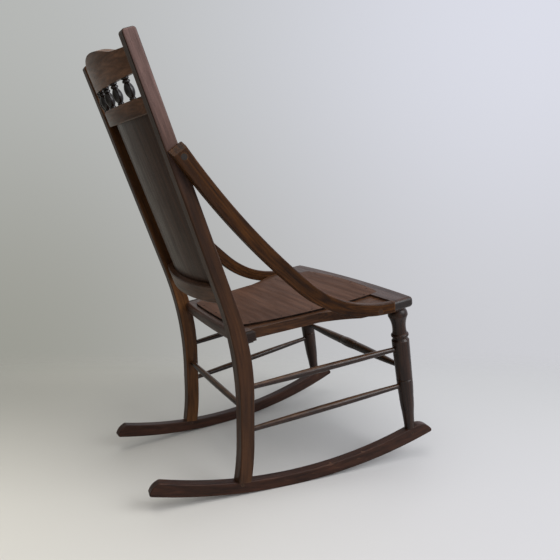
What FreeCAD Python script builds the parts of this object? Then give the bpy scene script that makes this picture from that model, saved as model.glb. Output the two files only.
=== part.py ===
# Armless pressed back rocking chair: sawn rear posts, turned front legs, bent back rails, two
# bentwood side braces, a framed seat with a plywood panel, all standing on two curved rockers.
# Millimetres, degrees. +Z is up, the sitter faces -Y, +X is the sitter's left. The origin is on the
# floor, on the middle plane, where the rockers touch when the empty chair is at rest.
import FreeCAD, Part
import math
import os
import re
import Sketcher
from FreeCAD import Placement, Rotation, Vector

SIZES = {
    # Fits
    "fit": 0.1,                    # room round every tenon, dowel and screw
    # Rear posts: one sawn piece from the rocker to the top of the back
    "post_thick": 30,              # across the chair
    "post_foot_x": 174.6,          # middle plane of a post at floor level
    "post_splay": 0.9,             # the posts stand wider at the top
    "post_rear_y": 113.7,          # rear face of the foot, behind the balance point
    "post_foot_depth": 32,
    "post_kick_start": 125,        # height below which the foot curves back
    "post_kick_radius": 600,
    "post_bend_start": 185,        # height where the rear face starts to curve back
    "post_bend_radius": 800,
    "post_lean": 19.3,             # rear face above the bend
    "post_front_start": 230,
    "post_front_radius": 536,
    "post_front_lean": 19.7,
    "post_top": 942.5,
    "post_round": 3.4,
    "post_top_round": 6,           # over the top end, front to rear
    "post_tenon_wide": 12,
    "post_tenon_deep": 16,
    "post_tenon_long": 20,
    # Rockers
    "rocker_radius": 1170,
    "rocker_thick": 22,
    "rocker_rear_reach": 196,      # past the rear face of the post
    "rocker_front_reach": 66,      # past the axis of the front leg
    "rocker_rear_slope": 24,       # how far the rear end is cut back at its top
    "rocker_front_slope": 46,
    "rocker_rear_depth": 32,
    "rocker_front_depth": 37,
    "rocker_top_radius": 1010,
    "rocker_rear_round": 32,
    "rocker_front_round": 45,
    "rocker_corner": 5,
    "rocker_edge": 2.5,
    "rocker_pin": 6,               # diameter of the pegs through the rocker joints
    # Front legs, turned: heights run along the axis from the foot
    "wheelbase": 436,              # rear face of the post to the foot of the front leg
    "leg_inset": 31.3,             # axis of a leg in from the end of the front rail
    "leg_foot_z": 93,
    "leg_rake": 10.1,              # the top leans back
    "leg_foot_dia": 25,
    "leg_ankle_dia": 29,
    "leg_shin_dia": 35,
    "leg_body_dia": 38.5,
    "leg_groove_dia": 36,
    "leg_collar_dia": 41.5,
    "leg_cove_dia": 34,
    "leg_bead_dia": 43,
    "leg_neck_dia": 32,
    "leg_vase_dia": 46,
    "leg_ankle_h": 32,
    "leg_shin_h": 76,
    "leg_groove_h": 122,
    "leg_groove_half": 1.6,
    "leg_collar_h": 222,
    "leg_bead_h": 235,
    "leg_bead_half": 5,
    "leg_neck_h": 248,
    "leg_vase_h": 284,
    "leg_tenon": 14,
    "leg_tenon_long": 20,
    "leg_foot_tenon": 32,          # below the foot point, into the rocker
    # Stretchers
    "stretcher_end": 12,           # diameter where a stretcher enters its socket
    "stretcher_socket": 14,        # how deep it goes in
    "side_stretcher_dia": 16,
    "rear_stretcher_dia": 15.5,
    "upper_rear_z": 245,
    "upper_front_z": 291,
    "lower_rear_z": 147,
    "lower_front_z": 197,
    "rear_stretcher_z": 197,
    "front_stretcher_z": 241,
    "front_stretcher_swell": 23,
    "front_stretcher_barrel": 26,
    "front_stretcher_groove": 18,
    "front_barrel_half": 32,
    "front_groove_half": 3,
    # Seat frame, in a plane that slopes down to the rear
    "seat_setback": 7,             # rear end of the side rails, ahead of the rear face of the foot
    "seat_rear_z": 364,            # top of the side rails at their rear end
    "seat_slope": 7.6,
    "front_rail_half": 255.3,
    "seat_depth": 346,             # rear end of the side rails to the front rail
    "front_rail_depth": 54,        # at the ends of the front rail
    "front_bow_radius": 2700,
    "front_rail_thick": 25,
    "front_rail_round": 9,
    "side_rail_rear_x": 159,       # outer faces
    "side_rail_mid_x": 180,
    "side_rail_flare_y": 190,      # where a side rail starts to flare out to the brace
    "side_rail_flare_radius": 250,
    "side_rail_meet_y": 272,       # where it reaches the brace
    "side_rail_rear_width": 55,
    "side_rail_front_inner": 140,  # inner edges at the front rail
    "side_rail_thick": 22,
    "rear_rail_radius": 3000,
    "rear_rail_bulge": 8,          # rear rail's rear face behind the ends of the side rails
    "rear_rail_depth": 36,
    "rear_rail_thick": 28,
    "rear_tenon": 6.5,             # round tenons of the rear rail in the posts
    "rear_tenon_long": 14,
    "rear_tenon_y": 3.4,           # ahead of the ends of the side rails
    "rear_tenon_drop": 16,
    "rear_rail_round": 8,
    "dowel": 9,
    "dowel_long": 36,
    "dowel_spread": 50,
    "block_front": 34,             # corner blocks between the rear rail's ends and the posts
    "block_tall": 19,
    "block_wide": 15,
    "block_drop": 1,               # how far a block starts below the top of the rail
    "block_screw": 4,
    "block_screw_long": 36,
    "block_screw_head": 8,
    "block_screw_head_tall": 2,
    # Seat panel: plywood, tacked on top of the frame and let into the front rail
    "panel_thick": 5,
    "panel_rear_half": 124,
    "panel_front_half": 162,
    "panel_rear_y": 10,            # rear corners, ahead of the ends of the side rails
    "panel_front_y": 370,
    "panel_side_radius": 750,
    "panel_front_radius": 820,
    "panel_rear_radius": 3000,
    "panel_corner": 14,
    "tack_head": 5,
    "tack_head_tall": 1,
    "tack_shank": 1.6,
    "tack_long": 11,
    "tack_inset": 9,
    # Side braces: bentwood strips from the posts down to the seat
    "brace_thick": 18,
    "brace_width": 31,
    "brace_rear_x": 190,           # where the line of its inner face would reach the seat's rear end
    "brace_straight": 5,           # straight stretch behind the front rail
    "brace_bend_radius": 255,      # upper edge of the tight bend at the seat
    "brace_mid_pitch": 40.2,
    "brace_sweep_radius": 1700,    # upper edge of the long sweep to the post
    "brace_top_pitch": 53.2,
    "brace_plan_radius": 1600,
    "brace_bevel": 11,
    "brace_round": 2.5,
    "brace_screw_inset": 4.2,      # from the post's front face
    "brace_screw": 3.5,
    "brace_screw_long": 30,
    "brace_screw_head": 12,
    "brace_screw_head_tall": 3,
    "seat_screw_y": 312,           # lower screw of a brace, ahead of the ends of the side rails
    # Back: bent rails and panel, concentric, in a plane that leans back
    "back_setback": 32.2,          # back plane behind the rear face of the foot, at back_z
    "back_z": 451.2,
    "back_lean": 20.1,
    "back_half": 174,              # half chord at which the rails' rear faces meet the back plane
    "rail_radius": 574,
    "rail_thick": 15,
    "rail_round": 2.5,
    "rail_tenon_back": 1.5,        # tenons lie this far in from the rails' rear faces
    "rail_tenon_thick": 7,
    "rail_tenon_long": 15,
    "rail_shoulder": 5,
    "bottom_rail_low": -20,
    "bottom_rail_tall": 39,
    "mid_rail_low": 374.5,
    "mid_rail_tall": 32.5,
    "crest_low": 448,
    "crest_end_tall": 42.5,
    "crest_shoulder_half": 125,    # where the crest's upper edge starts to rise
    "crest_shoulder_tall": 47.5,
    "crest_shoulder_radius": 134,
    "crest_crown_half": 100,
    "crest_crown_foot": 52.5,
    "crest_tall": 67.5,
    "back_panel_thick": 4,
    "back_panel_lap": 14,          # the panel laps this far on the bottom and middle rails
    "back_tack_spread": 62,
    # Spindles: five small turnings between the middle rail and the crest
    "spindle_spread": 59.5,
    "spindle_tenon": 6,
    "spindle_tenon_long": 7,
    "spindle_neck": 10.5,
    "spindle_collar": 15,
    "spindle_vase": 19.5,
    "spindle_foot": 13,
}
SPINDLES = 5
SIDE_TACKS = 5
FRONT_TACKS = 4
REAR_TACKS = 3

doc = FreeCAD.newDocument("rocking_chair")
sheet = doc.addObject("Spreadsheet::Sheet", "size")
for row, (alias, value) in enumerate(SIZES.items(), start=1):
    sheet.set(f"A{row}", alias)
    sheet.set(f"B{row}", str(value))
    sheet.setAlias(f"B{row}", alias)
doc.recompute()


def tie(expression):
    """The expression with every size in it read from the sheet."""
    def read(match):
        word = match.group()
        return f"size.{word}" if word in SIZES else word
    return re.sub(r"[a-z_]+", read, expression)


def num(expression):
    return float(sheet.evalExpression(tie(expression)))


# Sketches, bodies and placements

def plane_of(body, role):
    return next(plane for plane in body.Origin.OriginFeatures if plane.Role == role)


def new_body(label):
    body = doc.addObject("PartDesign::Body", label)
    body.Label = label
    return body


def arc_through(start, end, radius):
    """The short arc from start to end; it bulges to the right of that way if radius is positive."""
    way = end - start
    bulge = Vector(way.y, -way.x, 0).normalize() * math.copysign(1, radius)
    rise = abs(radius) - math.sqrt(radius * radius - way.Length ** 2 / 4)
    return Part.Arc(start, (start + end) * 0.5 + bulge * rise, end)


def outline(body, role, corners):
    """A closed sketch. A corner is (x, y) or (x, y, radius of the arc to the next corner), and each
    is an expression that pins the sketch to the sheet."""
    sketch = body.newObject("Sketcher::SketchObject", body.Name + "_outline")
    sketch.AttachmentSupport = [(plane_of(body, role), "")]
    sketch.MapMode = "FlatFace"
    points = [Vector(num(corner[0]), num(corner[1]), 0) for corner in corners]
    edges = []
    for index, corner in enumerate(corners):
        start = points[index]
        end = points[(index + 1) % len(points)]
        if len(corner) == 3:
            edge = arc_through(start, end, num(corner[2]))
        else:
            edge = Part.LineSegment(start, end)
        edges.append(sketch.addGeometry(edge, False))

    def end_at(edge, point):
        gaps = [(sketch.getPoint(edge, side) - point).Length for side in (1, 2)]
        return 1 if gaps[0] < gaps[1] else 2

    for index, corner in enumerate(corners):
        here = edges[index]
        before = edges[index - 1]
        point = points[index]
        side = end_at(here, point)
        sketch.addConstraint(Sketcher.Constraint(
            "Coincident", before, end_at(before, point), here, side))
        for kind, expression in (("DistanceX", corner[0]), ("DistanceY", corner[1])):
            name = sketch.addConstraint(Sketcher.Constraint(kind, -1, 1, here, side, num(expression)))
            sketch.setExpression(f"Constraints[{name}]", tie(expression))
        if len(corner) == 3:
            name = sketch.addConstraint(Sketcher.Constraint("Radius", here, abs(num(corner[2]))))
            sketch.setExpression(f"Constraints[{name}]", tie(f"abs({corner[2]})"))
    return sketch


def pad(body, sketch, length, middle=False, back=False):
    feature = body.newObject("PartDesign::Pad", body.Name + "_pad")
    feature.Profile = sketch
    feature.Midplane = middle
    feature.Reversed = back
    feature.setExpression("Length", tie(length))
    doc.recompute()
    return feature


def edges_where(feature, test):
    return [f"Edge{number}" for number, edge in enumerate(feature.Shape.Edges, start=1) if test(edge)]


def fillet(body, feature, test, radius):
    """Round the edges of the body's last feature that pass the test."""
    rounded = body.newObject("PartDesign::Fillet", body.Name + "_fillet")
    rounded.Base = (feature, edges_where(feature, test))
    rounded.setExpression("Radius", tie(radius))
    doc.recompute()
    return rounded


def turned(label, profile):
    """A turning about the body's Z axis: profile runs up it as (diameter, height[, arc radius])."""
    body = new_body(label)
    corners = [("0", profile[0][1])]
    for station in profile:
        corners.append((f"({station[0]}) / 2",) + tuple(station[1:]))
    if profile[-1][0] != "0":
        corners.append(("0", profile[-1][1]))
    sketch = outline(body, "XZ_Plane", corners)
    feature = body.newObject("PartDesign::Revolution", body.Name + "_turn")
    feature.Profile = sketch
    feature.ReferenceAxis = (sketch, ["V_Axis"])
    feature.Angle = 360
    doc.recompute()
    return body


def along(start, end):
    """A placement whose Z axis runs from start to end."""
    return Placement(start, Rotation(Vector(0, 0, 1), end - start))


def rod(label, diameter, length, placement):
    cylinder = doc.addObject("Part::Cylinder", label)
    cylinder.setExpression("Radius", tie(f"({diameter}) / 2"))
    cylinder.setExpression("Height", tie(length))
    cylinder.Placement = placement
    return cylinder


def block(label, wide, deep, tall, placement):
    """A box whose middle is at the placement's base."""
    box = doc.addObject("Part::Box", label)
    for side, expression in (("Length", wide), ("Width", deep), ("Height", tall)):
        box.setExpression(side, tie(expression))
    corner = Vector(-num(wide) / 2, -num(deep) / 2, -num(tall) / 2)
    box.Placement = placement.multiply(Placement(corner, Rotation()))
    return box


def cut(label, base, *tools):
    """The base with each tool taken out of it in turn."""
    for tool in tools:
        step = doc.addObject("Part::Cut", label)
        step.Base = base
        step.Tool = tool
        base = step
    doc.recompute()
    base.Label = label
    return base


def joined(label, *shapes):
    fuse = doc.addObject("Part::MultiFuse", label)
    fuse.Shapes = list(shapes)
    doc.recompute()
    fuse.Label = label
    return fuse


def common(label, first, second):
    both = doc.addObject("Part::Common", label)
    both.Base = first
    both.Tool = second
    doc.recompute()
    both.Label = label
    return both


def mirror(label, source):
    twin = doc.addObject("Part::Mirroring", label)
    twin.Source = source
    twin.Normal = Vector(1, 0, 0)
    doc.recompute()
    twin.Label = label
    return twin


def group(label, *members):
    """Separate solids that share one node."""
    compound = doc.addObject("Part::Compound", label)
    compound.Links = list(members)
    doc.recompute()
    compound.Label = label
    return compound


def copies(label, source, placements):
    """A group of copies of one piece, each at its own placement."""
    feature = doc.addObject("Part::Feature", label)
    solids = []
    for placement in placements:
        solid = source.Shape.copy()
        solid.Placement = placement
        solids.append(solid)
    feature.Shape = Part.makeCompound(solids)
    feature.Label = label
    return feature


# Frames that several pieces share

post_frame = Placement(Vector(-num("post_foot_x"), 0, 0),
                       Rotation(Vector(0, 1, 0), -num("post_splay")))
seat_frame = Placement(Vector(0, num("post_rear_y - seat_setback"), num("seat_rear_z")),
                       Rotation(Vector(1, 0, 0), -num("seat_slope")))
back_frame = Placement(Vector(0, num("post_rear_y + back_setback"), num("back_z")),
                       Rotation(Vector(1, 0, 0), -num("back_lean")))
leg_foot = Vector(-num("front_rail_half - leg_inset"), num("post_rear_y - wheelbase"), num("leg_foot_z"))
leg_way = Vector(0, num("sin(leg_rake)"), num("cos(leg_rake)"))
leg_frame = along(leg_foot, leg_foot + leg_way)
post_foot_y = num("post_rear_y - post_foot_depth / 2")
FOOT_Z = "leg_foot_z / 6"


def foot_kick(height, ahead):
    """How far a post curves back at a height below the kick, on a line that far ahead of its rear face."""
    radius = f"(post_kick_radius + {ahead})"
    return f"({radius} - sqrt({radius} ^ 2 - (post_kick_start - {height}) ^ 2))"


post_tenon_y = num(f"post_rear_y - post_foot_depth / 2 + {foot_kick(FOOT_Z, 'post_foot_depth / 2')}")


def post_point(height):
    """Middle of the right post's foot stretch at a height."""
    return post_frame.multVec(Vector(0, post_foot_y, height / num("cos(post_splay)")))


def leg_point(height):
    """The right leg's axis at a height."""
    return leg_foot + leg_way * ((height - leg_foot.z) / leg_way.z)


# Blanks: the large pieces before their joints are cut

# A rear post in its own plane: a foot that curves back, a bend at the seat, a straight leaning back
REAR_BEND_Y = "(post_rear_y + post_bend_radius * (1 - cos(post_lean)))"
REAR_BEND_Z = "(post_bend_start + post_bend_radius * sin(post_lean))"
FRONT_Y = "(post_rear_y - post_foot_depth)"
FRONT_BEND_Y = f"({FRONT_Y} + post_front_radius * (1 - cos(post_front_lean)))"
FRONT_BEND_Z = "(post_front_start + post_front_radius * sin(post_front_lean))"
TOP_FRONT_Y = f"({FRONT_BEND_Y} + (post_top - {FRONT_BEND_Z}) * tan(post_front_lean))"
TOP_REACH = (f"(({TOP_FRONT_Y} - {REAR_BEND_Y}) * sin(post_lean)"
             f" + (post_top - {REAR_BEND_Z}) * cos(post_lean))")

post_blank = new_body("post_blank")
post_sketch = outline(post_blank, "YZ_Plane", [
    (f"post_rear_y + {foot_kick(FOOT_Z, 'post_foot_depth')} - post_foot_depth", FOOT_Z),
    (f"post_rear_y + {foot_kick(FOOT_Z, 0)}", FOOT_Z, "-post_kick_radius"),
    ("post_rear_y", "post_kick_start"),
    ("post_rear_y", "post_bend_start", "-post_bend_radius"),
    (REAR_BEND_Y, REAR_BEND_Z),
    (f"{REAR_BEND_Y} + {TOP_REACH} * sin(post_lean)", f"{REAR_BEND_Z} + {TOP_REACH} * cos(post_lean)"),
    (TOP_FRONT_Y, "post_top"),
    (FRONT_BEND_Y, FRONT_BEND_Z, "post_front_radius"),
    (FRONT_Y, "post_front_start"),
    (FRONT_Y, "post_kick_start", "post_kick_radius + post_foot_depth"),
])
post_pad = pad(post_blank, post_sketch, "post_thick", middle=True)
post_end = fillet(post_blank, post_pad, lambda edge: edge.BoundBox.XLength > 1 and
                  edge.BoundBox.ZMin > num("post_bend_start") * 4, "post_top_round")
fillet(post_blank, post_end, lambda edge: edge.BoundBox.XLength < 1 and
       edge.BoundBox.ZMax > num(FOOT_Z) + 1, "post_round")
post_blank.Placement = post_frame

# A rocker in its own plane, contact point at its origin, toed in towards the rear
rocker_toe = math.degrees(math.atan2(post_point(0).x - leg_foot.x, post_foot_y - leg_foot.y))
rocker_base = Vector(post_point(0).x - post_foot_y * math.tan(math.radians(rocker_toe)), 0, 0)
rocker_frame = Placement(rocker_base, Rotation(Vector(0, 0, 1), -rocker_toe))
ROCKER_REAR = "(post_rear_y + rocker_rear_reach)"
ROCKER_FRONT = "(post_rear_y - wheelbase - rocker_front_reach)"


def rocker_rise(reach):
    return f"(rocker_radius - sqrt(rocker_radius ^ 2 - ({reach}) ^ 2))"


REAR_TOP = f"({ROCKER_REAR} - rocker_rear_slope)"
FRONT_TOP = f"({ROCKER_FRONT} + rocker_front_slope)"
rocker_blank = new_body("rocker_blank")
rocker_sketch = outline(rocker_blank, "YZ_Plane", [
    (ROCKER_FRONT, rocker_rise(ROCKER_FRONT), "rocker_radius"),
    (ROCKER_REAR, rocker_rise(ROCKER_REAR), "rocker_rear_round"),
    (REAR_TOP, f"{rocker_rise(REAR_TOP)} + rocker_rear_depth", "-rocker_top_radius"),
    (FRONT_TOP, f"{rocker_rise(FRONT_TOP)} + rocker_front_depth", "rocker_front_round"),
])
rocker_pad = pad(rocker_blank, rocker_sketch, "rocker_thick", middle=True)
rocker_ends = fillet(rocker_blank, rocker_pad, lambda edge: edge.BoundBox.XLength > 1, "rocker_corner")
fillet(rocker_blank, rocker_ends, lambda edge: edge.BoundBox.XLength < 1, "rocker_edge")
rocker_blank.Placement = rocker_frame

# The front rail of the seat, bowed forward, with rounded ends and front
FRONT_END_Y = "(-seat_depth - front_rail_depth)"
front_rail_blank = new_body("front_rail_blank")
front_sketch = outline(front_rail_blank, "XY_Plane", [
    ("front_rail_half", "-seat_depth"),
    ("-front_rail_half", "-seat_depth"),
    ("-front_rail_half", FRONT_END_Y, "front_bow_radius"),
    ("front_rail_half", FRONT_END_Y),
])
front_pad = pad(front_rail_blank, front_sketch, "front_rail_thick", back=True)
front_corners = fillet(front_rail_blank, front_pad, lambda edge: edge.BoundBox.ZLength > 1 and
                       edge.BoundBox.YMax < -num("seat_depth") - 1, "front_rail_round")
fillet(front_rail_blank, front_corners, lambda edge: edge.BoundBox.ZLength < 0.1 and
       edge.BoundBox.YMin < -num("seat_depth") - 1, "front_rail_round")
front_rail_blank.Placement = seat_frame.multiply(Placement(Vector(0, 0, num("panel_thick")), Rotation()))

# The rear rail of the seat, slightly bowed, between the posts
REAR_CENTRE = "(rear_rail_bulge - rear_rail_radius)"
REAR_END_X = "(post_foot_x - post_thick / 2 + seat_rear_z * tan(post_splay))"


def on_ring(centre, radius, x):
    return f"({centre} + sqrt(({radius}) ^ 2 - ({x}) ^ 2))"


REAR_INNER = "(rear_rail_radius - rear_rail_depth)"
rear_rail_blank = new_body("rear_rail_blank")
rear_sketch = outline(rear_rail_blank, "XY_Plane", [
    (REAR_END_X, on_ring(REAR_CENTRE, "rear_rail_radius", REAR_END_X), "rear_rail_radius"),
    (f"-{REAR_END_X}", on_ring(REAR_CENTRE, "rear_rail_radius", REAR_END_X)),
    (f"-{REAR_END_X}", on_ring(REAR_CENTRE, REAR_INNER, REAR_END_X), f"-{REAR_INNER}"),
    (REAR_END_X, on_ring(REAR_CENTRE, REAR_INNER, REAR_END_X)),
])
rear_pad = pad(rear_rail_blank, rear_sketch, "rear_rail_thick", back=True)
fillet(rear_rail_blank, rear_pad, lambda edge: edge.BoundBox.ZLength < 0.1 and
       edge.BoundBox.YMax > num("rear_rail_bulge") - 1, "rear_rail_round")
rear_rail_blank.Placement = seat_frame

# A side rail of the seat; its outer face flares out to the brace and follows it to the front rail
SIDE_FRONT_X = "(front_rail_half - brace_thick)"
SIDE_MEET_X = f"(brace_rear_x + ({SIDE_FRONT_X} - brace_rear_x) * side_rail_meet_y / seat_depth)"
side_rail_blank = new_body("side_rail_blank")
side_sketch = outline(side_rail_blank, "XY_Plane", [
    ("-side_rail_rear_x", "-rear_rail_depth / 2"),
    ("-side_rail_mid_x", "-side_rail_flare_y", "-side_rail_flare_radius"),
    (f"-{SIDE_MEET_X}", "-side_rail_meet_y"),
    (f"-{SIDE_FRONT_X}", "-seat_depth"),
    ("-side_rail_front_inner", "-seat_depth"),
    ("-side_rail_rear_x + side_rail_rear_width", "-rear_rail_depth / 2"),
])
pad(side_rail_blank, side_sketch, "side_rail_thick", back=True)
side_rail_blank.Placement = seat_frame


# The back's rails and panel are rings about one upright axis of the back plane
RING_CENTRE = "(-sqrt(rail_radius ^ 2 - back_half ^ 2))"


def ring_band(label, outer, thick, half, low, tall, rounding=None):
    """A stretch of ring in the back plane, from one half width to the other."""
    body = new_body(label)
    inner = f"(({outer}) - ({thick}))"
    sketch = outline(body, "XY_Plane", [
        (half, on_ring(RING_CENTRE, outer, half), outer),
        (f"-({half})", on_ring(RING_CENTRE, outer, half)),
        (f"-({half})", on_ring(RING_CENTRE, inner, half), f"-({inner})"),
        (half, on_ring(RING_CENTRE, inner, half)),
    ])
    feature = pad(body, sketch, tall)
    if rounding:
        fillet(body, feature, lambda edge: edge.BoundBox.ZLength < 0.1 and
               edge.BoundBox.XLength > num(half), rounding)
    lift = Placement(Vector(0, 0, num(low)), Rotation())
    body.Placement = back_frame.multiply(lift)
    return body


# Everything outside a post's inner face, to end the back's pieces there
outside_post = block("outside_post", "post_thick * 10", "post_top * 3", "post_top * 3",
                     post_frame.multiply(Placement(Vector(num("post_thick / 2 - post_thick * 5"), 0, 0),
                                                   Rotation())))
outside_left = mirror("outside_left", outside_post)

# Stretchers: sticks that swell to the middle, their ends pushed into round sockets

def swollen(label, diameter, start, end):
    """A stick from start to end, plain in its sockets and swelling to the middle."""
    length = (end - start).Length
    plain = "stretcher_socket * 1.5"
    sag = f"(({diameter}) - stretcher_end) / 2"
    half = f"({length} / 2 - {plain})"
    body = turned(label, [
        ("stretcher_end", "0"),
        ("stretcher_end", plain, f"({half} ^ 2 + ({sag}) ^ 2) / (2 * ({sag}))"),
        ("stretcher_end", f"{length} - {plain}"),
        ("stretcher_end", f"{length}"),
    ])
    body.Placement = along(start, end)
    return body


def socket(label, end, middle):
    """The hole for a stretcher's end, open towards the stretcher's middle."""
    way = (middle - end).normalize()
    return rod(label, "stretcher_end + 2 * fit", "stretcher_socket * 2.4",
               along(end - way * num("fit"), middle))


def side_ends(rear_z, front_z):
    rear = post_point(num(rear_z))
    front = leg_point(num(front_z))
    way = (front - rear).normalize()
    return (rear + way * num("post_foot_depth / 2 - stretcher_socket"),
            front - way * num("leg_body_dia / 2 - stretcher_socket"))


upper_rear, upper_front = side_ends("upper_rear_z", "upper_front_z")
lower_rear, lower_front = side_ends("lower_rear_z", "lower_front_z")
across = Vector(1, 0, 0)
rear_right = post_point(num("rear_stretcher_z")) + across * num("post_thick / 2 - stretcher_socket")
rear_left = Vector(-rear_right.x, rear_right.y, rear_right.z)
front_right = leg_point(num("front_stretcher_z")) + across * num("leg_body_dia / 2 - stretcher_socket")
front_left = Vector(-front_right.x, front_right.y, front_right.z)

upper_right = swollen("side_stretcher_upper_right", "side_stretcher_dia", upper_rear, upper_front)
lower_right = swollen("side_stretcher_lower_right", "side_stretcher_dia", lower_rear, lower_front)
rear_stretcher = swollen("rear_stretcher", "rear_stretcher_dia", rear_right, rear_left)

FRONT_LONG = f"{(front_left - front_right).Length}"
FRONT_HALF = f"({FRONT_LONG} / 2)"
BARREL_SAG = "(front_stretcher_barrel - front_stretcher_swell) / 2"
BARREL_HALF = "(front_barrel_half - front_groove_half)"
front_stretcher = turned("front_stretcher", [
    ("stretcher_end", "0"),
    ("stretcher_end", "stretcher_socket * 1.5", "front_stretcher_barrel * 100"),
    ("front_stretcher_swell", f"{FRONT_HALF} - front_barrel_half - front_groove_half"),
    ("front_stretcher_groove", f"{FRONT_HALF} - front_barrel_half"),
    ("front_stretcher_swell", f"{FRONT_HALF} - {BARREL_HALF}",
     f"({BARREL_HALF} ^ 2 + ({BARREL_SAG}) ^ 2) / (2 * {BARREL_SAG})"),
    ("front_stretcher_swell", f"{FRONT_HALF} + {BARREL_HALF}"),
    ("front_stretcher_groove", f"{FRONT_HALF} + front_barrel_half"),
    ("front_stretcher_swell", f"{FRONT_HALF} + front_barrel_half + front_groove_half",
     "front_stretcher_barrel * 100"),
    ("stretcher_end", f"{FRONT_LONG} - stretcher_socket * 1.5"),
    ("stretcher_end", FRONT_LONG),
])
front_stretcher.Placement = along(front_right, front_left)

# Front legs: turned, a round tenon at each end, the foot cut to the rocker and the top to the seat
leg_turning = turned("leg_turning", [
    ("leg_foot_dia", "-leg_foot_dia / 2"),
    ("leg_foot_dia", "0"),
    ("leg_ankle_dia", "leg_ankle_h", "leg_shin_h * 5"),
    ("leg_shin_dia", "leg_shin_h", "leg_shin_h * 8"),
    ("leg_body_dia", "leg_groove_h - leg_groove_half"),
    ("leg_groove_dia", "leg_groove_h"),
    ("leg_body_dia", "leg_groove_h + leg_groove_half"),
    ("leg_collar_dia", "leg_collar_h"),
    ("leg_cove_dia", "leg_collar_h + leg_bead_half"),
    ("leg_cove_dia", "leg_bead_h - leg_bead_half", "leg_bead_half * 1.05"),
    ("leg_cove_dia", "leg_bead_h + leg_bead_half"),
    ("leg_neck_dia", "leg_neck_h", "-leg_vase_dia * 1.5"),
    ("leg_vase_dia", "leg_vase_h", "leg_vase_dia / 2"),
    ("leg_collar_dia * 0.9", "leg_vase_h + leg_vase_dia / 3"),
    ("leg_collar_dia * 0.9", "leg_vase_h + leg_vase_dia"),
])
leg_turning.Placement = leg_frame

# A wide rocker outline, to cut the feet of posts and legs to the curve they stand on
foot_trim = new_body("foot_trim")
foot_trim_sketch = outline(foot_trim, "YZ_Plane", [
    (ROCKER_FRONT, rocker_rise(ROCKER_FRONT), "rocker_radius"),
    (ROCKER_REAR, rocker_rise(ROCKER_REAR)),
    (REAR_TOP, f"{rocker_rise(REAR_TOP)} + rocker_rear_depth", "-rocker_top_radius"),
    (FRONT_TOP, f"{rocker_rise(FRONT_TOP)} + rocker_front_depth"),
])
pad(foot_trim, foot_trim_sketch, "rocker_thick * 4", middle=True)
foot_trim.Placement = rocker_frame

SEAT_TRIM = "front_rail_half"
SEAT_UNDER = "(panel_thick - front_rail_thick)"
seat_trim = block("seat_trim", f"{SEAT_TRIM} * 4", f"{SEAT_TRIM} * 4", SEAT_TRIM,
                  seat_frame.multiply(Placement(
                      Vector(0, 0, num(f"{SEAT_TRIM} / 2 + {SEAT_UNDER}")), Rotation())))

leg_tenon_low = leg_foot - leg_way * num("leg_foot_tenon")
seat_under = seat_frame.multVec(Vector(0, num("-seat_depth"), num(SEAT_UNDER))).z
tenon_top = leg_point(seat_under + num("leg_tenon_long"))
foot_tenon = rod("foot_tenon", "leg_tenon", "leg_foot_tenon + leg_tenon_long", along(leg_tenon_low, leg_foot))
foot_hole = rod("foot_hole", "leg_tenon + 2 * fit", "leg_foot_tenon + leg_tenon_long + fit",
                along(leg_tenon_low - leg_way * num("fit"), leg_foot))
top_tenon = rod("top_tenon", "leg_tenon", "leg_tenon_long * 2", along(tenon_top, leg_foot))
top_hole = rod("top_hole", "leg_tenon + 2 * fit", "leg_tenon_long * 2 + fit",
               along(tenon_top + leg_way * num("fit"), leg_foot))

# Pegs through the rockers and the tenons that stand in them
def peg_place(foot, height):
    """A placement across the rocker, on its right hand face, at a foot's tenon."""
    inside = rocker_frame.inverse().multVec(Vector(foot.x, foot.y, height))
    face = rocker_frame.multVec(Vector(-num("rocker_thick / 2"), inside.y, inside.z))
    far = rocker_frame.multVec(Vector(num("rocker_thick / 2"), inside.y, inside.z))
    return along(face, far)


TENON_LOW = f"({rocker_rise('post_rear_y')} + (rocker_rear_depth - post_tenon_long) * 0.8)"
rear_peg_place = peg_place(Vector(post_point(0).x, post_tenon_y, 0), num(f"{TENON_LOW} + post_tenon_long / 2"))
front_peg = leg_tenon_low + leg_way * num("rocker_pin * 1.5")
front_peg_place = peg_place(front_peg, front_peg.z)
pegs = []
peg_holes = []
for place_name, place in (("rear", rear_peg_place), ("front", front_peg_place)):
    pegs.append(rod(f"{place_name}_peg", "rocker_pin", "rocker_thick", place))
    peg_holes.append(rod(f"{place_name}_peg_hole", "rocker_pin + 2 * fit", "rocker_thick", place))
rear_peg_hole, front_peg_hole = peg_holes

front_leg_right = cut(
    "front_leg_right",
    joined("leg_with_tenons", cut("leg_trimmed", leg_turning, foot_trim, seat_trim),
           foot_tenon, top_tenon),
    socket("upper_front_socket", upper_front, upper_rear),
    socket("lower_front_socket", lower_front, lower_rear),
    socket("front_socket", front_right, front_left),
    front_peg_hole,
)
# Back rails: ends flush with the posts' inner faces, thinner tenons going on into the posts
TENON_OUTER = "(rail_radius - rail_tenon_back)"
TENON_HALF = "(back_half + rail_tenon_long)"
BAND_HALF = "(back_half + rail_tenon_long)"


def tenon_band(label, low, tall, room):
    """The tenons of a back rail as one band; with room it is the tool for their mortises."""
    return ring_band(label, f"({TENON_OUTER} + {room})", f"rail_tenon_thick + 2 * {room}",
                     f"({TENON_HALF} + {room})", f"({low}) + rail_shoulder - {room}",
                     f"({tall}) - 2 * rail_shoulder + 2 * {room}")


def back_rail(label, band, low, tall):
    """A back rail from its band, and the tool for its mortises in the posts."""
    trimmed = cut(label + "_trimmed", band, outside_post, outside_left)
    rail = joined(label, trimmed, tenon_band(label + "_tenons", low, tall, "0"))
    return rail, tenon_band(label + "_mortises", low, tall, "fit")


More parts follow.
